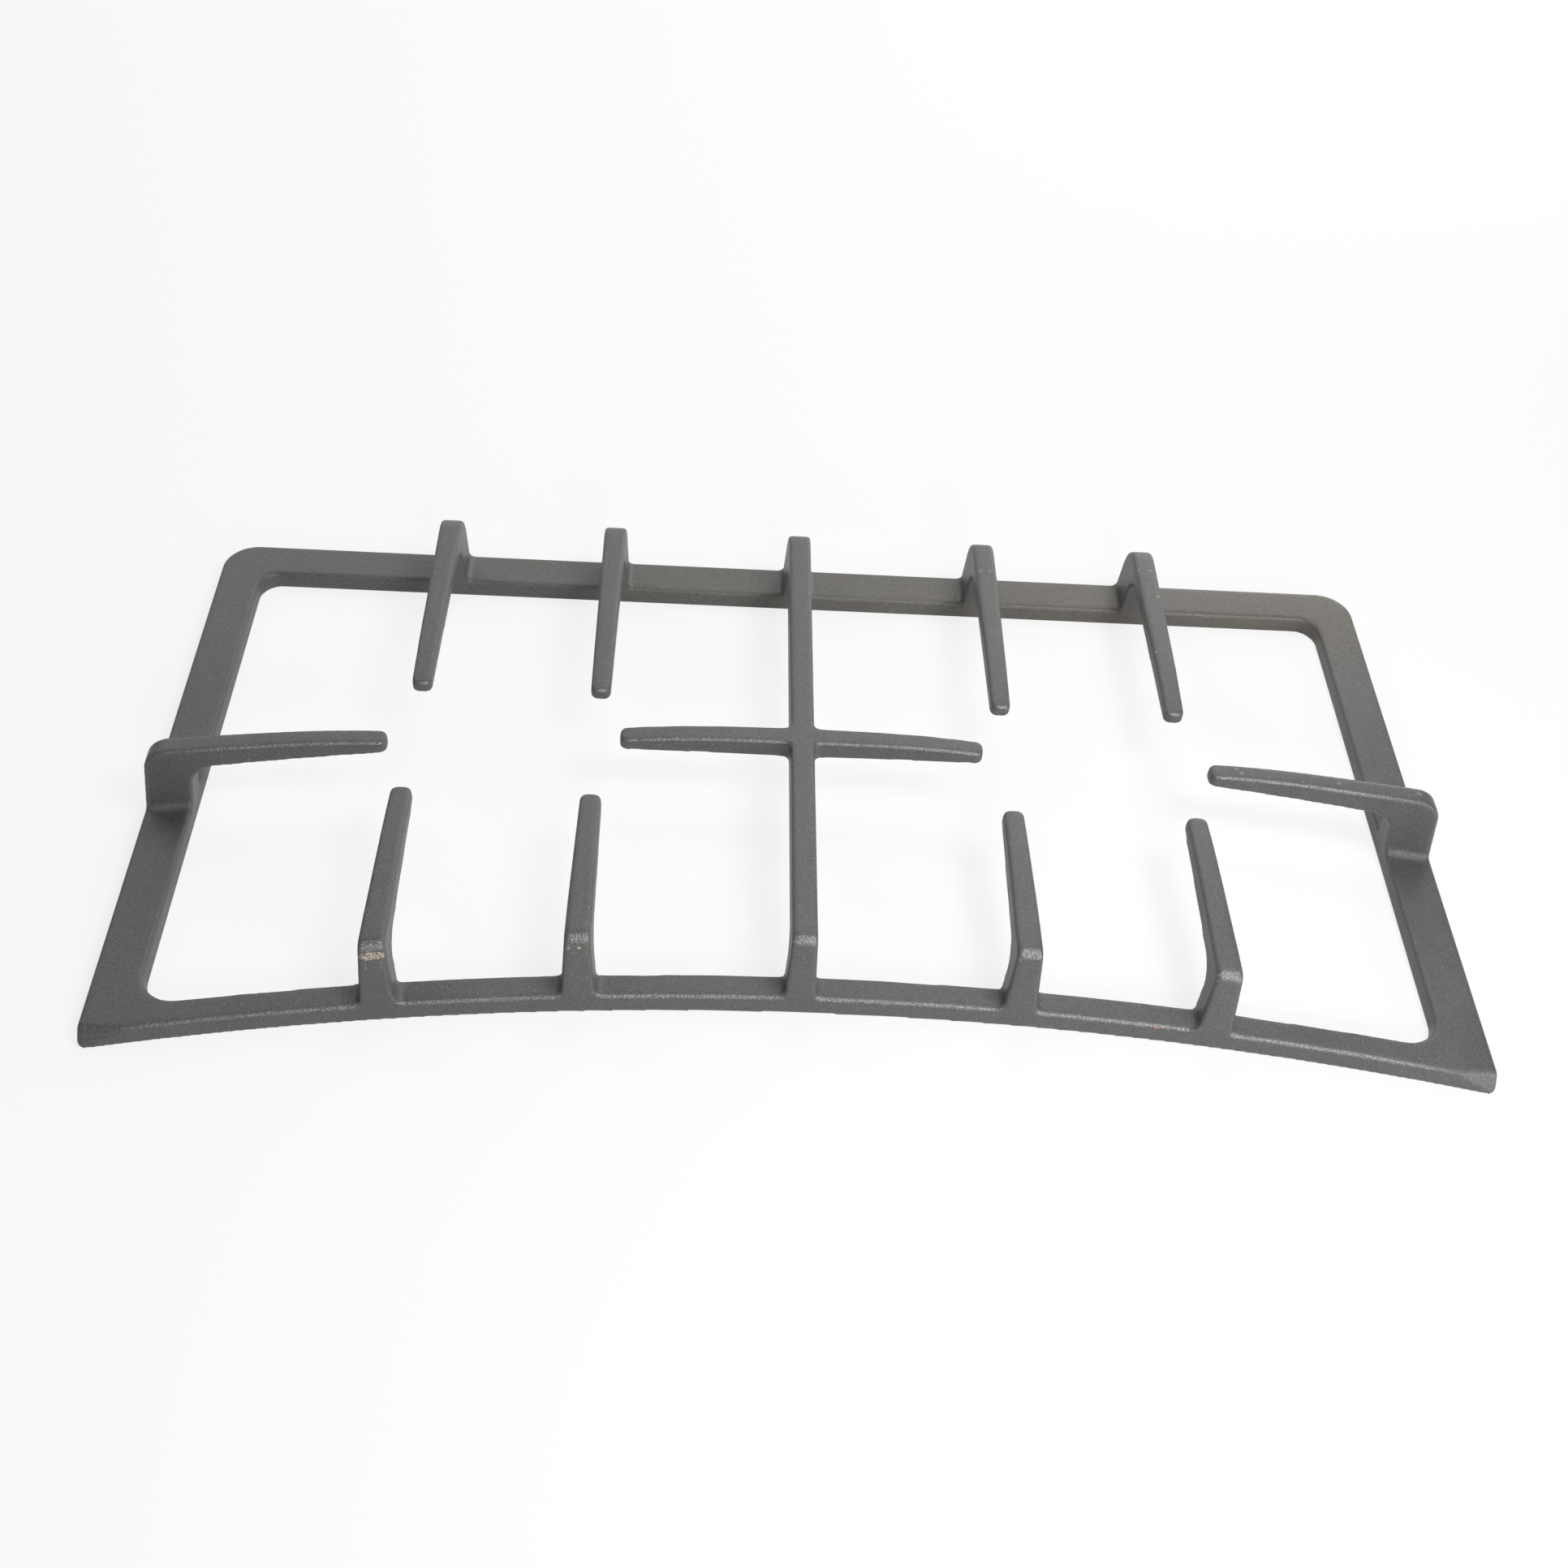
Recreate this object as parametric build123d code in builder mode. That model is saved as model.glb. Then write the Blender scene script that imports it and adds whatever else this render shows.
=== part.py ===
"""Cast-iron pan support for a two-burner gas hob, made as one casting.

Millimetres, +Z up, origin at the middle of the underside, +Y towards the rear.
"""
import os
from math import asin, copysign, cos, radians, sqrt, tan

from build123d import *

# Ring that lies on the hob
frame_length = 480.0
frame_depth = 247.6
frame_height = 7.6
bar_width = 17.8
front_bar_width = 11.1
front_sagitta = 24.5
front_land = 19.0
rear_corner = 13.5
front_corner = 3.0
rear_fillet = 8.5
front_fillet = 11.0
ring_edge = 1.3

# Slope of each wall, as run over rise
rear_lean = 0.07
side_lean = 0.13
front_lean = 0.16
hole_lean = 0.05

# Burner places and the fingers round them
pan_height = 35.0
burner_spacing = 219.0
burner_y = -5.5
burner_radius = 42.3
finger_offset = 33.5
finger_root = 8.7
finger_tip = 7.2
arm_root = 8.0
arm_tip = 6.9
arm_y = 0.0
arm_radius = 1475.0
nose_corner = 2.4
nose_height = 5.0
tip_drop = 1.6
drop_length = 38.0
finger_edge = 0.65
bar_edge = 0.9
crossing_fillet = 2.6

# Legs that carry the fingers
front_draft = 3.0
rear_draft = 1.5
side_draft = 3.0
middle_draft = 2.2
front_bend = 4.5
rear_bend = 12.5
side_bend = 8.5
rear_leg_lean = 0.12
leg_rise = 0.11
under_radius = 9.5
front_under = 26.6
rear_under = 28.2
side_under = 25.9
middle_under = 25.4
arm_under = 26.9
foot_fillet = 2.8

# Depth of the legs in the ring, set-back of their outer faces, and run past the work
leg_seat = 1.0
skin = 0.06
overrun = 4.0

# How steep an edge is to stand upright, and how sharp one is to be rounded, in degrees
upright_share = 0.9
rim_angle = 30.0

# Derived places
half_length = frame_length / 2
back_y = frame_depth / 2
front_radius = (half_length**2 + front_sagitta**2) / (2 * front_sagitta)
corner_angle = asin(half_length / front_radius)
corner_y = -back_y - front_corner * (tan(corner_angle) + 1 / cos(corner_angle) - 1)
front_centre = corner_y + front_sagitta - front_radius
outer_y = corner_y - overrun
top_radius = front_radius + front_lean * frame_height
land_y = front_centre + sqrt(top_radius**2 - (half_length - front_land) ** 2)
profile_span = 2 * bar_width
leg_span = pan_height - leg_seat
burner_x = burner_spacing / 2
tip_reach = sqrt(burner_radius**2 - finger_offset**2)
tip_under = pan_height - tip_drop - nose_height
foot_inset = ring_edge / 2
edge_loss = 2 * foot_inset + hole_lean * frame_height
front_foot = front_bar_width - front_lean * frame_height - edge_loss
rear_foot = bar_width - rear_lean * frame_height - edge_loss
side_foot = bar_width - side_lean * frame_height - edge_loss


def circle_y(radius, x):
    """Y of a circle about the centre of the front arc."""
    return front_centre + sqrt(radius**2 - x**2)


def front_y(x, z):
    """Y of the front wall at a place along it and a height."""
    return circle_y(front_radius + front_lean * z, x)


def arm_line(x):
    """Y of the curve that the cross arms and side fingers follow."""
    return arm_y - arm_radius + sqrt(arm_radius**2 - x**2)


def gain(draft, rise):
    """Width that one drafted wall gains over a height."""
    return rise * tan(radians(draft))


def leg_inner(depth, z):
    """Inner face of a leg, which runs up from the ring's inner edge."""
    return depth + leg_rise * (z - frame_height)


def round_at(sketch, radius, *points):
    """Round the corners of a sketch that lie at the given points."""
    for point in points:
        fillet(sketch.vertices().sort_by_distance(point)[0], radius)


def leaning_block(half, side, back, rear, front_arc, front, low, high):
    """Make a block with leaning sides and back and a conical front, between two heights."""
    low_half = half + side * low
    high_half = half + side * high
    low_back = back + rear * low
    high_back = back + rear * high
    with BuildPart() as block:
        with BuildSketch(Plane.XZ):
            Polygon((-low_half, low), (low_half, low), (high_half, high), (-high_half, high), align=None)
        extrude(amount=frame_depth, both=True)
        with BuildSketch(Plane.YZ):
            Polygon((-frame_depth, low), (low_back, low), (high_back, high), (-frame_depth, high), align=None)
        extrude(amount=frame_length, both=True, mode=Mode.INTERSECT)
        with Locations((0, front_centre, low)):
            Cone(
                front_arc + front * low, front_arc + front * high, high - low,
                align=(Align.CENTER, Align.CENTER, Align.MIN), mode=Mode.SUBTRACT,
            )
    return block.part


def upright_edges(piece):
    """List the edges that stand upright."""
    return [edge for edge in piece.edges() if abs((edge % 0.5).Z) > upright_share]


def corner_edges(piece, rear):
    """List the upright edges of a block at its rear or front corners."""
    return [edge for edge in upright_edges(piece) if ((edge @ 0.5).Y > 0) == rear]


def upper_rims(piece):
    """List the edges where two faces that both look up a little meet at an angle."""
    rims = []
    for edge in piece.edges():
        normals = [face.normal_at(edge @ 0.5) for face in piece.faces() if edge in face.edges()]
        upward = len(normals) == 2 and min(normal.Z for normal in normals) > 0
        if upward and normals[0].get_angle(normals[1]) > rim_angle:
            rims.append(edge)
    return rims


def finger_top(start, tip):
    """Draw the top of a finger, level and then falling a little to its tip."""
    level = (tip - drop_length, pan_height)
    end = (tip + overrun, pan_height - tip_drop * (1 + overrun / drop_length) ** 2)
    Line(start, level)
    TangentArc(level, end, tangent=(1, 0))
    return end


def leg_profile(plane, lean, bend, depth, under, tip):
    """Draw a leg and its finger from the side, with the wall's base line at zero."""
    base = (skin + lean * leg_seat, leg_seat)
    shoulder = (skin + lean * pan_height, pan_height)
    root = (leg_inner(depth, under), under)
    heel = (leg_inner(depth, leg_seat), leg_seat)
    slope = (tip_under - under) / (tip - root[0])
    with BuildSketch(plane) as profile:
        with BuildLine():
            Line(base, shoulder)
            end = finger_top(shoulder, tip)
            Polyline(end, (end[0], tip_under + slope * overrun), root, heel, base)
        make_face()
        round_at(profile, bend, shoulder)
        round_at(profile, under_radius, root)
    return profile.sketch


def make_finger(plan, profile, draft):
    """Shape a finger by its drafted plan and its side profile, with rounded edges."""
    with BuildPart() as finger:
        extrude(plan, amount=leg_span, taper=draft)
        extrude(profile, amount=profile_span, both=True, mode=Mode.INTERSECT)
        chamfer(upper_rims(finger.part), finger_edge)
    return finger.part


def make_foot(start, inward, half, draft, length):
    """Make the two fillets that blend a leg's sides into the top of the ring."""
    side = half + gain(draft, pan_height - frame_height) - skin
    level = frame_height - skin
    base = frame_height - ring_edge
    bow = foot_fillet * (1 - sqrt(0.5))
    upper = (side, level + foot_fillet)
    lower = (side + foot_fillet, level)
    with BuildPart() as foot:
        with BuildSketch(Plane(start, x_dir=(-inward.Y, inward.X), z_dir=inward)):
            with BuildLine():
                ThreePointArc(upper, (side + bow, level + bow), lower)
                Polyline(lower, (lower[0], base), (side, base), upper)
            make_face()
            mirror(about=Plane.YZ)
        extrude(amount=length)
    return foot.part


def straight_plan(x, wall_y, tip_y, draft):
    """Draw a straight finger from above, at the level of the leg's seat."""
    way = copysign(1, tip_y - wall_y)
    grow = gain(draft, leg_span)
    root = way * (finger_root / 2 + grow)
    tip = way * (finger_tip / 2 + grow)
    end_y = tip_y + way * grow
    knee_y = wall_y + way * bar_width
    start_y = wall_y - way * overrun
    noses = [(x - tip, end_y), (x + tip, end_y)]
    with BuildSketch(Plane.XY.offset(leg_seat)) as plan:
        with BuildLine():
            Polyline(noses[0], (x - root, knee_y), (x - root, start_y))
            Polyline((x - root, start_y), (x + root, start_y), (x + root, knee_y), noses[1], noses[0])
        make_face()
        round_at(plan, nose_corner + grow, *noses)
    return plan.sketch


def curved_plan(way, start_x, tip_x, level, draft):
    """Draw a side finger or cross arm from above, along the curve that both follow."""
    onward = copysign(1, tip_x - start_x)
    turn = -way * onward
    grow = gain(draft, pan_height - level)
    places = [start_x, (start_x + tip_x) / 2, tip_x + onward * grow]
    halves = [arm_root / 2 + grow, (arm_root + arm_tip) / 4 + grow, arm_tip / 2 + grow]
    near = [(way * x, arm_line(x) + turn * half) for x, half in zip(places, halves)]
    far = [(way * x, arm_line(x) - turn * half) for x, half in zip(places, halves)]
    with BuildSketch(Plane.XY.offset(level)) as plan:
        with BuildLine():
            ThreePointArc(*near)
            Line(near[2], far[2])
            ThreePointArc(*far)
            Line(far[0], near[0])
        make_face()
        round_at(plan, nose_corner + grow, near[2], far[2])
    return plan.sketch


def front_finger(x):
    """Make a front finger, with its leg square to the front wall."""
    wall_y = front_y(x, 0)
    tip_y = burner_y - tip_reach
    inward = Vector(x, wall_y - front_centre).normalized()
    across = Vector(inward.Y, -inward.X)
    plane = Plane((x, wall_y, 0), x_dir=inward, z_dir=across)
    reach = (tip_y - wall_y) * inward.Y
    profile = leg_profile(plane, front_lean, front_bend, front_bar_width, front_under, reach)
    finger = make_finger(straight_plan(x, wall_y, tip_y, front_draft), profile, front_draft)
    foot_y = wall_y + front_lean * frame_height + foot_inset
    foot = make_foot(Vector(x, foot_y), Vector(0, 1), finger_root / 2, front_draft, front_foot)
    return [finger, foot]


def rear_finger(x):
    """Make a rear finger, with its leg flush with the back wall."""
    tip_y = burner_y + tip_reach
    plane = Plane((x, back_y, 0), x_dir=(0, -1, 0), z_dir=(-1, 0, 0))
    profile = leg_profile(plane, rear_leg_lean, rear_bend, bar_width, rear_under, back_y - tip_y)
    finger = make_finger(straight_plan(x, back_y, tip_y, rear_draft), profile, rear_draft)
    foot_y = back_y - rear_lean * frame_height - foot_inset
    foot = make_foot(Vector(x, foot_y), Vector(0, -1), finger_root / 2, rear_draft, rear_foot)
    return [finger, foot]


def side_finger(way):
    """Make a side finger, with its leg flush with the side wall."""
    tip_x = burner_x + burner_radius
    plane = Plane((way * half_length, arm_line(half_length), 0), x_dir=(-way, 0, 0), z_dir=(0, way, 0))
    profile = leg_profile(plane, side_lean, side_bend, bar_width, side_under, half_length - tip_x)
    plan = curved_plan(way, half_length + overrun, tip_x, leg_seat, side_draft)
    finger = make_finger(plan, profile, side_draft)
    inward = Vector(-way * sqrt(arm_radius**2 - half_length**2), half_length).normalized()
    grow = gain(side_draft, leg_span)
    half = (arm_root / 2 + grow) * abs(inward.X) - grow - skin
    foot_x = half_length - side_lean * frame_height - foot_inset
    foot = make_foot(Vector(way * foot_x, arm_line(foot_x)), inward, half, side_draft, side_foot)
    return [finger, foot]


def cross_arm(way):
    """Make a cross arm, which starts inside the middle bar."""
    tip_x = burner_x - burner_radius
    start_x = overrun - finger_root / 2
    slope = (tip_under - arm_under) / tip_x
    plan = curved_plan(way, start_x, tip_x, arm_under, middle_draft)
    start = (-overrun, pan_height)
    heel = (-overrun, arm_under - slope * overrun)
    with BuildPart() as arm:
        extrude(plan, amount=pan_height - arm_under, taper=middle_draft)
        with BuildSketch(Plane((0, arm_y, 0), x_dir=(way, 0, 0), z_dir=(0, -way, 0))):
            with BuildLine():
                end = finger_top(start, tip_x)
                Polyline(end, (end[0], arm_under + slope * end[0]), heel, start)
            make_face()
        extrude(amount=profile_span, both=True, mode=Mode.INTERSECT)
    return arm.part


def middle_bar():
    """Make the bar that runs from the front wall to the back wall with its cross arms."""
    wall_y = front_y(0, 0)
    span = back_y - wall_y
    half = finger_root / 2 + gain(middle_draft, leg_span)
    front_base = (skin + front_lean * leg_seat, leg_seat)
    front_shoulder = (skin + front_lean * pan_height, pan_height)
    rear_base = (span - skin - rear_leg_lean * leg_seat, leg_seat)
    rear_shoulder = (span - skin - rear_leg_lean * pan_height, pan_height)
    front_root = (leg_inner(front_bar_width, middle_under), middle_under)
    rear_root = (span - leg_inner(bar_width, middle_under), middle_under)
    front_heel = (leg_inner(front_bar_width, leg_seat), leg_seat)
    rear_heel = (span - leg_inner(bar_width, leg_seat), leg_seat)
    front_leg = [front_root, front_heel, front_base, front_shoulder]
    rear_leg = [rear_shoulder, rear_base, rear_heel, rear_root]
    arms = [cross_arm(-1), cross_arm(1)]

    with BuildPart() as bar:
        with BuildSketch(Plane.XY.offset(leg_seat)):
            with Locations((0, wall_y + span / 2)):
                Rectangle(2 * half, span + 2 * overrun)
        extrude(amount=leg_span, taper=middle_draft)
        with BuildSketch(Plane((0, wall_y, 0), x_dir=(0, 1, 0), z_dir=(1, 0, 0))) as profile:
            with BuildLine():
                Polyline(*front_leg, *rear_leg, close=True)
            make_face()
            round_at(profile, front_bend, front_shoulder)
            round_at(profile, rear_bend, rear_shoulder)
            round_at(profile, under_radius, front_root, rear_root)
        extrude(amount=profile_span, both=True, mode=Mode.INTERSECT)
        add(arms)
        crossing = [edge for edge in upright_edges(bar) if abs((edge @ 0.5).Y - arm_y) < arm_root]
        fillet(crossing, crossing_fillet)
        fillet(upper_rims(bar.part), bar_edge)
    front_start = Vector(0, wall_y + front_lean * frame_height + foot_inset)
    rear_start = Vector(0, back_y - rear_lean * frame_height - foot_inset)
    feet = [
        make_foot(front_start, Vector(0, 1), finger_root / 2, middle_draft, front_foot),
        make_foot(rear_start, Vector(0, -1), finger_root / 2, middle_draft, rear_foot),
    ]
    return [bar.part, *feet]


with BuildPart() as hole:
    add(leaning_block(
        half_length - bar_width, hole_lean, back_y - bar_width, hole_lean,
        front_radius + front_bar_width, -hole_lean, -overrun, frame_height + overrun,
    ))
    fillet(corner_edges(hole, True), rear_fillet)
    fillet(corner_edges(hole, False), front_fillet)

with BuildPart() as ring:
    add(leaning_block(half_length, -side_lean, back_y, -rear_lean, front_radius, front_lean, 0, frame_height))
    fillet(corner_edges(ring, True), rear_corner)
    fillet(corner_edges(ring, False), front_corner)
    add(hole.part, mode=Mode.SUBTRACT)
    fillet(ring.edges().group_by(Axis.Z)[-1], ring_edge)
    with BuildSketch(Plane.YZ):
        Polygon((outer_y, 0), (corner_y, 0), (land_y, frame_height), (outer_y, frame_height), align=None)
    extrude(amount=frame_length, both=True, mode=Mode.SUBTRACT)

finger_places = [way * (burner_x + side * finger_offset) for way in (-1, 1) for side in (-1, 1)]
pieces = middle_bar() + side_finger(-1) + side_finger(1)
for place in finger_places:
    pieces += front_finger(place) + rear_finger(place)

with BuildPart() as pan_support:
    add(ring.part)
    add(pieces)

pan_support.part.label = "pan_support"
os.makedirs("parts", exist_ok=True)
export_step(pan_support.part, "parts/pan_support.step")
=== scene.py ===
"""Looks of a cast-iron hob pan support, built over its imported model. Metres, +Z up."""
from math import cos, sin

import bpy
from mathutils import Matrix, Vector


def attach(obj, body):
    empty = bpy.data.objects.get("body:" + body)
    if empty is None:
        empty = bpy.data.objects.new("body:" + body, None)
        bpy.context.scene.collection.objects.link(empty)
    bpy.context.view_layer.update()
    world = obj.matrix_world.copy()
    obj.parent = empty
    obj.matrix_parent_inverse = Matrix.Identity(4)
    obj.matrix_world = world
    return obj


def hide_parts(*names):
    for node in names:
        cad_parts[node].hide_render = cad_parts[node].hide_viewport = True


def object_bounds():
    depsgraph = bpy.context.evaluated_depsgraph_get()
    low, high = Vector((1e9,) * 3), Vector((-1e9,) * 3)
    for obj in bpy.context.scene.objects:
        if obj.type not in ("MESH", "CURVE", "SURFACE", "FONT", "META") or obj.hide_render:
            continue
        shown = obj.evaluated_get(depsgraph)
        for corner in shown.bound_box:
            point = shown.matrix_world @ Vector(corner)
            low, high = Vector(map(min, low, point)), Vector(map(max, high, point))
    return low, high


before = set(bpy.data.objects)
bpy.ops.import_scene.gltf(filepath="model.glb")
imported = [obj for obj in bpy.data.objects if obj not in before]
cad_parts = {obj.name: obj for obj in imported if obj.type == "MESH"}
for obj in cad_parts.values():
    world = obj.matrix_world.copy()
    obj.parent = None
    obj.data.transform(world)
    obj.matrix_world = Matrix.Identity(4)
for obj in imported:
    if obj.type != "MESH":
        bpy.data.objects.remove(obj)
cad_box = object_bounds()

MM = 0.001

# Half the length and the height of the part, in mm
half_length = cad_box[1][0] / MM
top = cad_box[1][2] / MM

# Camera fitted to the photograph: pixels, metres and radians, and the width of the sensor in mm
image_size = 1932
focal_px = 2235.66
principal_y = 908.5
camera_place = Vector((-38.72, -462.1, 520.15)) * MM
camera_yaw = 0.0688
camera_pitch = 0.8103
camera_roll = 0.0911
sensor_width = 36.0
nearest_view = 0.01

# Lamps that all point at the origin: name, place, width, power
lamps = [
    ("key", (0.25, -0.35, 0.80), 0.25, 1.8),
    ("near_key", (0.30, -0.20, 0.60), 0.20, 1.5),
    ("front", (0.20, -1.10, 0.56), 0.30, 3.6),
    ("front_low", (0.14, -0.42, 0.20), 0.12, 0.36),
    ("front_right", (0.75, -0.75, 0.20), 0.35, 4.6),
    ("above_rear", (0.10, 0.50, 0.80), 0.40, 2.1),
    ("rear_left", (-0.87, 0.87, 0.86), 0.80, 4.0),
    ("rear_low", (-0.30, 1.20, 0.50), 0.60, 2.3),
    ("rear_near", (0.25, 0.90, 0.50), 0.40, 1.1),
    ("rear_right", (0.55, 0.85, 0.25), 0.35, 2.3),
]

# Floor: half size, its white as it lights the part, and the glow and the white that are seen of it
floor_reach = 20.0
floor_white = 0.85
floor_glow = 0.795
floor_shade = 0.176

# Brightness of the white surround where it is seen
surround_white = (1, 1, 1, 1)
surround_strength = 0.4

# Cast surface: a mesh rebuilt on a fine grid, smoothed, thinned, and made uneven by the marks of sand
grid_halvings = 10
grid_fill = 0.83
smoothing_rounds = 18
smoothing_factor = 0.5
kept_share = 0.25
sand_size = 2.5 * MM
sand_depth = 0.06 * MM

# Colours of the casting, linear, and the tint of heat that multiplies them
iron_grey = (0.0760, 0.0755, 0.0740, 1)
# Pale grey of specks and wear, also the colour of the painted highlight on shining edges
worn_and_highlight_grey = (0.230, 0.225, 0.215, 1)
chip_beige = (0.560, 0.430, 0.300, 1)
chip_grey = (0.300, 0.300, 0.280, 1)
rust_red = (0.300, 0.060, 0.040, 1)
heat_brown = (1.10, 1.00, 0.84, 1)

# Noises of the enamel: features per mm, detail and roughness
grain_noise = (1.5, 2.0, 0.5)
fine_noise = (3.0, 2.0, 0.5)
cloud_noise = (0.05, 4.0, 0.6)
ragged_noise = (0.9, 3.0, 0.7)

# Spans that values cross or results go between, here and below: a whole share, and the middle of a noise
whole = (0.0, 1.0)
noise_span = (0.3, 0.7)

# What the grain and the clouds do to tone and roughness
grain_tone = (0.79, 1.21)
cloud_tone = (0.94, 1.06)
cloud_roughness = (0.42, 0.50)

# Light specks: cells per mm, which cells have one, its soft rim and how light it is
speck_scale = 0.55
speck_choice = (0.80, 0.98)
speck_rim = (0.22, 0.10)
speck_share = 0.7

# Heat tint: the spans in mm over which it comes up, along Z, Y and X, and its shares along X
heat_height = (14.0, 8.0)
heat_depth = (60.0, 115.0)
heat_length = (-180.0, 230.0)
heat_share = (0.25, 1.0)

# Shining edges: their rounding, the direction they look in, and how near to it they have to be. The
# direction is where the front lamp's highlight falls. The shine sets gloss, and it also puts a painted
# highlight into the colour
edge_rounding = 1.4 * MM
edge_samples = 8
shine_direction = (0.05, -0.72, 0.69)
shine_span = (0.88, 0.97)

# Where the shine fades, as spans in mm: low down behind the front bar, and towards both ends
low_height = (20.0, 14.0)
low_depth = (-70.0, -50.0)
low_shine = (1.0, 0.25)
end_length = (half_length - 40.0, half_length - 5.0)
end_shine = (1.0, 0.1)

# Wear and painted highlight: how pale each kind is, the grain that breaks it up, its soft rim, and how
# ragged it is in mm. The pale colour on shining edges is partly wear and partly painted highlight
shine_wear_and_painted_highlight = 0.5
scratch_wear = 0.45
nick_wear = 0.6
wear_grain = (0.42, 0.62)
chip_grain = (0.36, 0.56)
ground_grain = (0.4, 0.6)
patch_rim = (1.15, 0.75)
ragged_reach = 2.6

# Relief of the grain and the chips, stronger on edges, and the gloss of the shine
relief_depth = 0.25 * MM
fine_relief = 0.6
chip_relief = 1.2
shine_relief = (0.45, 0.65)
edge_span = (0.52, 0.60)
edge_relief = 0.7
shine_gloss = (0.5, 0.9)
shine_polish = 0.23

# Marks on the casting, as places and half sizes in mm
chips = [
    ((-142.7, -103.9, 30.1), (4.6, 2.0, 2.0)),
    ((-78.6, -97.6, 30.6), (0.7, 1.0, 0.9)),
    ((-75.5, -97.6, 29.8), (0.6, 1.0, 0.9)),
]
scratches = [
    ((-145.2, -105.0, 25.4), (0.5, 1.0, 2.0)),
    ((-139.9, -104.1, 26.2), (0.5, 1.0, 2.2)),
    ((-141.8, -102.6, 33.0), (3.4, 1.6, 1.3)),
    ((-77.0, -97.9, 27.6), (1.6, 1.0, 0.6)),
]
nicks = [
    (73.7, 96.8, top), (77.6, 96.6, top), (139.6, 101.8, top), (144.6, 101.7, top), (145.5, 85.8, top),
    (139.8, 53.2, 34.9), (228.2, -17.0, top), (198.8, -13.3, top), (161.4, -7.2, 34.1),
    (163.2, -9.3, 34.2), (72.3, -97.1, 31.5), (138.9, -101.6, 33.2), (138.7, -102.6, 31.1),
    (239.4, -85.0, 5.5), (-3.9, -94.2, 33.6), (-141.6, 20.6, 33.0), (-75.6, 20.6, 33.0),
    (76.2, 20.5, 33.0), (142.6, 20.6, 33.2),
]
nick_size = (0.9, 0.7, 0.7)
rust_place = (122.8, -105.4, 6.5)
rust_size = (0.7, 0.7, 0.5)

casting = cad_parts["pan_support"]


class Graph:
    """Adds nodes to a node tree and links what they are given."""

    def __init__(self, tree):
        self.tree = tree

    def feed(self, socket, value):
        """Link a socket to another one, or set it to a constant."""
        if isinstance(value, bpy.types.NodeSocket):
            self.tree.links.new(value, socket)
        else:
            socket.default_value = value

    def add(self, kind, inputs, **settings):
        """Add a node, with inputs by name or number, and return it."""
        node = self.tree.nodes.new("ShaderNode" + kind)
        for name, value in settings.items():
            setattr(node, name, value)
        for key, value in inputs.items():
            self.feed(node.inputs[key], value)
        return node

    def math(self, operation, first, second=0.0):
        """Work on two numbers."""
        return self.add("Math", {0: first, 1: second}, operation=operation).outputs[0]

    def product(self, first, *others):
        """Multiply numbers."""
        for other in others:
            first = self.math("MULTIPLY", first, other)
        return first

    def largest(self, first, *others):
        """Take the largest of some numbers."""
        for other in others:
            first = self.math("MAXIMUM", first, other)
        return first

    def vector(self, operation, first, second, output="Vector"):
        """Work on two vectors."""
        return self.add("VectorMath", {0: first, 1: second}, operation=operation).outputs[output]

    def ramp(self, value, span, result=whole):
        """Ease from one end of a result to the other as a value crosses a span."""
        inputs = {"Value": value}
        inputs.update({"From Min": span[0], "From Max": span[1]})
        inputs.update({"To Min": result[0], "To Max": result[1]})
        return self.add("MapRange", inputs, interpolation_type="SMOOTHSTEP").outputs[0]

    def mix(self, share, first, second, blend="MIX"):
        """Mix two colours."""
        inputs = {0: share, 6: first, 7: second}
        return self.add("Mix", inputs, data_type="RGBA", blend_type=blend).outputs[2]

    def noise(self, place, kind, output=0):
        """Make a noise of a scale, detail and roughness."""
        scale, detail, roughness = kind
        inputs = {"Vector": place, "Scale": scale, "Detail": detail, "Roughness": roughness}
        return self.add("TexNoise", inputs).outputs[output]

    def patches(self, place, spots):
        """Mark patches given as centres and half sizes, 1 inside and 0 outside."""
        shown = []
        for centre, size in spots:
            offset = self.vector("DIVIDE", self.vector("SUBTRACT", place, centre), size)
            shown.append(self.ramp(self.vector("LENGTH", offset, (0, 0, 0), "Value"), patch_rim))
        return self.largest(*shown)

    def seen(self):
        """Tell camera, mirror and see-through rays from those that only light things."""
        path = self.add("LightPath", {}).outputs
        return self.largest(path["Is Camera Ray"], path["Is Glossy Ray"], path["Is Transmission Ray"])


def new_object(name, data):
    """Make an object and put it in the scene."""
    item = bpy.data.objects.new(name, data)
    bpy.context.scene.collection.objects.link(item)
    return item


def new_material(name):
    """Make a material, and a graph for its nodes."""
    material = bpy.data.materials.new(name)
    material.use_nodes = True
    return material, Graph(material.node_tree)


def make_camera():
    """Place the camera where the photograph was taken from."""
    ahead = Vector((sin(camera_yaw), cos(camera_yaw), 0))
    forward = cos(camera_pitch) * ahead - sin(camera_pitch) * Vector((0, 0, 1))
    level = Vector((cos(camera_yaw), -sin(camera_yaw), 0))
    above = level.cross(forward)
    right = cos(camera_roll) * level + sin(camera_roll) * above
    up = cos(camera_roll) * above - sin(camera_roll) * level
    data = bpy.data.cameras.new("camera")
    data.sensor_fit = "HORIZONTAL"
    data.sensor_width = sensor_width
    data.lens = focal_px * sensor_width / image_size
    data.shift_y = (principal_y - image_size / 2) / image_size
    data.clip_start = nearest_view
    camera = new_object("camera", data)
    turn = Matrix((right, up, -forward)).transposed().to_4x4()
    camera.matrix_world = Matrix.Translation(camera_place) @ turn
    bpy.context.scene.camera = camera


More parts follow.
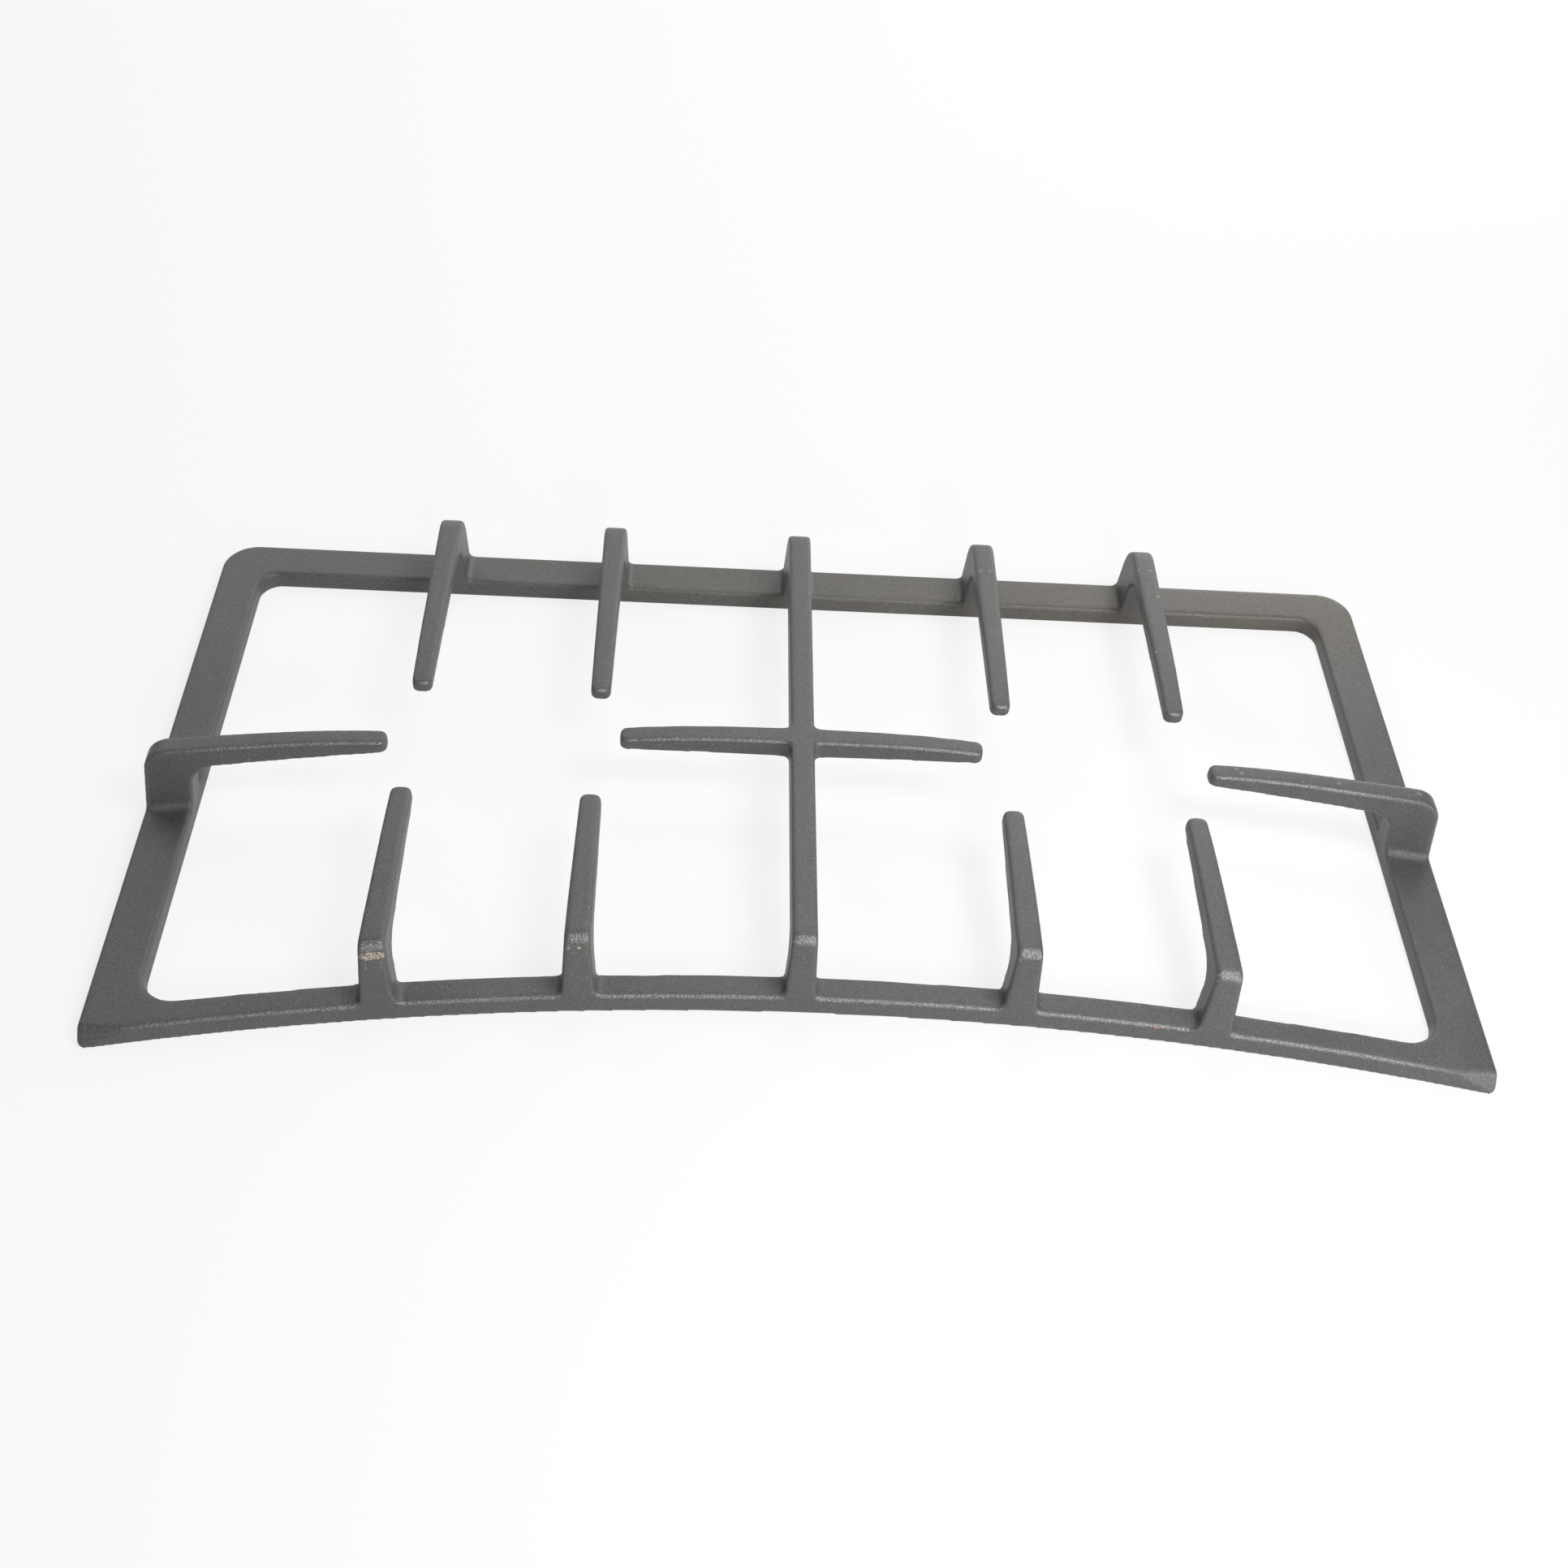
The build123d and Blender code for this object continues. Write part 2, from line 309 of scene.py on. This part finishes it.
def make_floor():
    """Lay a white floor that keeps the part's shadow."""
    signs = [(-1, -1), (1, -1), (1, 1), (-1, 1)]
    corners = [(x * floor_reach, y * floor_reach, 0) for x, y in signs]
    mesh = bpy.data.meshes.new("floor")
    mesh.from_pydata(corners, [], [(0, 1, 2, 3)])
    floor = new_object("floor", mesh)
    material, graph = new_material("floor_white")
    graph.tree.nodes.remove(graph.tree.nodes["Principled BSDF"])
    lit = graph.add("BsdfDiffuse", {"Color": (floor_white, floor_white, floor_white, 1)}).outputs[0]
    shaded = graph.add("BsdfDiffuse", {"Color": (floor_shade, floor_shade, floor_shade, 1)}).outputs[0]
    glow = graph.add("Emission", {"Strength": floor_glow}).outputs[0]
    shown = graph.add("AddShader", {0: shaded, 1: glow}).outputs[0]
    mixed = graph.add("MixShader", {0: graph.seen(), 1: lit, 2: shown}).outputs[0]
    graph.feed(graph.tree.nodes["Material Output"].inputs["Surface"], mixed)
    mesh.materials.append(material)


def make_lights():
    """Set up the soft studio lamps and a pale surround."""
    world = bpy.data.worlds.new("studio")
    bpy.context.scene.world = world
    world.use_nodes = True
    graph = Graph(world.node_tree)
    background = world.node_tree.nodes["Background"]
    graph.feed(background.inputs["Color"], surround_white)
    graph.feed(background.inputs["Strength"], graph.product(graph.seen(), surround_strength))
    for name, place, width, power in lamps:
        data = bpy.data.lights.new(name, "AREA")
        data.size = width
        data.energy = power
        lamp = new_object(name, data)
        lamp.location = place
        lamp.rotation_euler = (-lamp.location).to_track_quat("-Z", "Y").to_euler()


def make_casting():
    """Copy the casting with its edges rounded and a little uneven, as they were cast."""
    piece = new_object("cast_support", casting.data.copy())
    cast = piece.modifiers.new("cast", "REMESH")
    cast.mode = "SHARP"
    cast.octree_depth = grid_halvings
    cast.scale = grid_fill
    cast.use_smooth_shade = True
    soft = piece.modifiers.new("soft", "SMOOTH")
    soft.factor = smoothing_factor
    soft.iterations = smoothing_rounds
    thin = piece.modifiers.new("thin", "DECIMATE")
    thin.ratio = kept_share
    sand = bpy.data.textures.new("sand", "CLOUDS")
    sand.noise_scale = sand_size
    uneven = piece.modifiers.new("uneven", "DISPLACE")
    uneven.texture = sand
    uneven.texture_coords = "LOCAL"
    uneven.strength = sand_depth
    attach(piece, "root")
    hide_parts("pan_support")
    piece.data.materials.clear()
    piece.data.materials.append(make_enamel())


def make_enamel():
    """Make the casting's grainy enamel with marks, and edges painted pale, partly as wear and partly as
    painted highlight.
    """
    material, graph = new_material("enamelled_iron")
    place = graph.vector("MULTIPLY", graph.add("TexCoord", {}).outputs["Object"], [1 / MM] * 3)
    axes = graph.add("SeparateXYZ", {0: place}).outputs
    rounded = graph.add("Bevel", {"Radius": edge_rounding}, samples=edge_samples).outputs[0]
    grain = graph.noise(place, grain_noise)
    fine = graph.noise(place, fine_noise)
    clouds = graph.noise(place, cloud_noise)
    shift = graph.vector("SUBTRACT", graph.noise(place, ragged_noise, "Color"), (0.5, 0.5, 0.5))
    ragged = graph.vector("ADD", place, graph.vector("MULTIPLY", shift, [ragged_reach] * 3))

    shine = find_shine(graph, axes, rounded)
    chipped = graph.product(graph.patches(ragged, chips), graph.ramp(grain, chip_grain))
    rusted = graph.patches(ragged, [(rust_place, rust_size)])
    colour = add_coat(graph, place, grain, clouds)
    colour = add_heat(graph, axes, colour)
    # Painted highlight, partly wear: pale colour on edges that face the front lamp; real pale wear on
    # scratches and nicks
    colour = add_wear_and_painted_highlight(graph, ragged, grain, shine, colour)
    ground = graph.mix(graph.ramp(fine, ground_grain), chip_beige, chip_grey)
    colour = graph.mix(chipped, colour, ground)
    colour = graph.mix(rusted, colour, rust_red)

    roughness = graph.ramp(clouds, noise_span, cloud_roughness)
    finish = {
        "Base Color": colour,
        "Normal": add_relief(graph, grain, fine, chipped, shine, rounded),
        "Specular IOR Level": graph.ramp(shine, whole, shine_gloss),
        "Roughness": graph.math("SUBTRACT", roughness, graph.product(shine, shine_polish)),
    }
    shader = graph.tree.nodes["Principled BSDF"]
    for name, value in finish.items():
        graph.feed(shader.inputs[name], value)
    return material


def find_shine(graph, axes, rounded):
    """Find the edges that look up and to the front, less so low down and towards the ends."""
    # Edges facing where the front lamp's highlight falls; this mask also paints a highlight into the
    # colour
    facing = graph.vector("DOT_PRODUCT", rounded, shine_direction, "Value")
    low = graph.product(graph.ramp(axes["Z"], low_height), graph.ramp(axes["Y"], low_depth))
    ends = graph.ramp(graph.math("ABSOLUTE", axes["X"]), end_length, end_shine)
    return graph.product(graph.ramp(facing, shine_span), graph.ramp(low, whole, low_shine), ends)


def add_coat(graph, place, grain, clouds):
    """Colour the enamel with grain, cloudy patches and light specks."""
    light = graph.ramp(grain, noise_span, grain_tone)
    tone = graph.product(light, graph.ramp(clouds, noise_span, cloud_tone))
    tones = graph.add("CombineColor", {0: tone, 1: tone, 2: tone}).outputs[0]
    coat = graph.mix(1.0, iron_grey, tones, "MULTIPLY")
    cells = graph.add("TexVoronoi", {"Vector": place, "Scale": speck_scale}).outputs
    lot = graph.add("SeparateColor", {0: cells["Color"]}).outputs[0]
    speck = graph.ramp(cells["Distance"], speck_rim)
    return graph.mix(graph.product(speck, graph.ramp(lot, speck_choice), speck_share), coat, worn_and_highlight_grey)


def add_heat(graph, axes, coat):
    """Tint the coat brown where the burner's heat was, low on the rear bar."""
    low = graph.ramp(axes["Z"], heat_height)
    rear = graph.ramp(axes["Y"], heat_depth)
    along = graph.ramp(axes["X"], heat_length, heat_share)
    tinted = graph.mix(1.0, coat, heat_brown, "MULTIPLY")
    return graph.mix(graph.product(low, rear, along), coat, tinted)


def add_wear_and_painted_highlight(graph, place, grain, shine, coat):
    """Paint a pale highlight, partly wear, on shining edges, and wear the coat pale on scratches and
    nicks.
    """
    broken = graph.ramp(grain, wear_grain)
    # Painted highlight, partly wear: pale colour on edges that face the front lamp
    rubbed_and_painted_highlight = graph.product(shine, broken, shine_wear_and_painted_highlight)
    scratched = graph.product(graph.patches(place, scratches), broken, scratch_wear)
    nicked = graph.product(graph.patches(place, [(nick, nick_size) for nick in nicks]), nick_wear)
    return graph.mix(graph.largest(rubbed_and_painted_highlight, scratched, nicked), coat, worn_and_highlight_grey)


def add_relief(graph, grain, fine, chipped, shine, rounded):
    """Raise the grain and sink the chips, more strongly on edges."""
    height = graph.math("ADD", grain, graph.product(fine, fine_relief))
    height = graph.math("SUBTRACT", height, graph.product(chipped, chip_relief))
    edge = graph.ramp(graph.add("NewGeometry", {}).outputs["Pointiness"], edge_span)
    strength = graph.largest(graph.ramp(shine, whole, shine_relief), graph.product(edge, edge_relief))
    relief = {"Strength": strength, "Distance": relief_depth, "Height": height, "Normal": rounded}
    return graph.add("Bump", relief).outputs[0]


bpy.context.scene.view_settings.view_transform = "Standard"
make_camera()
make_floor()
make_lights()
make_casting()
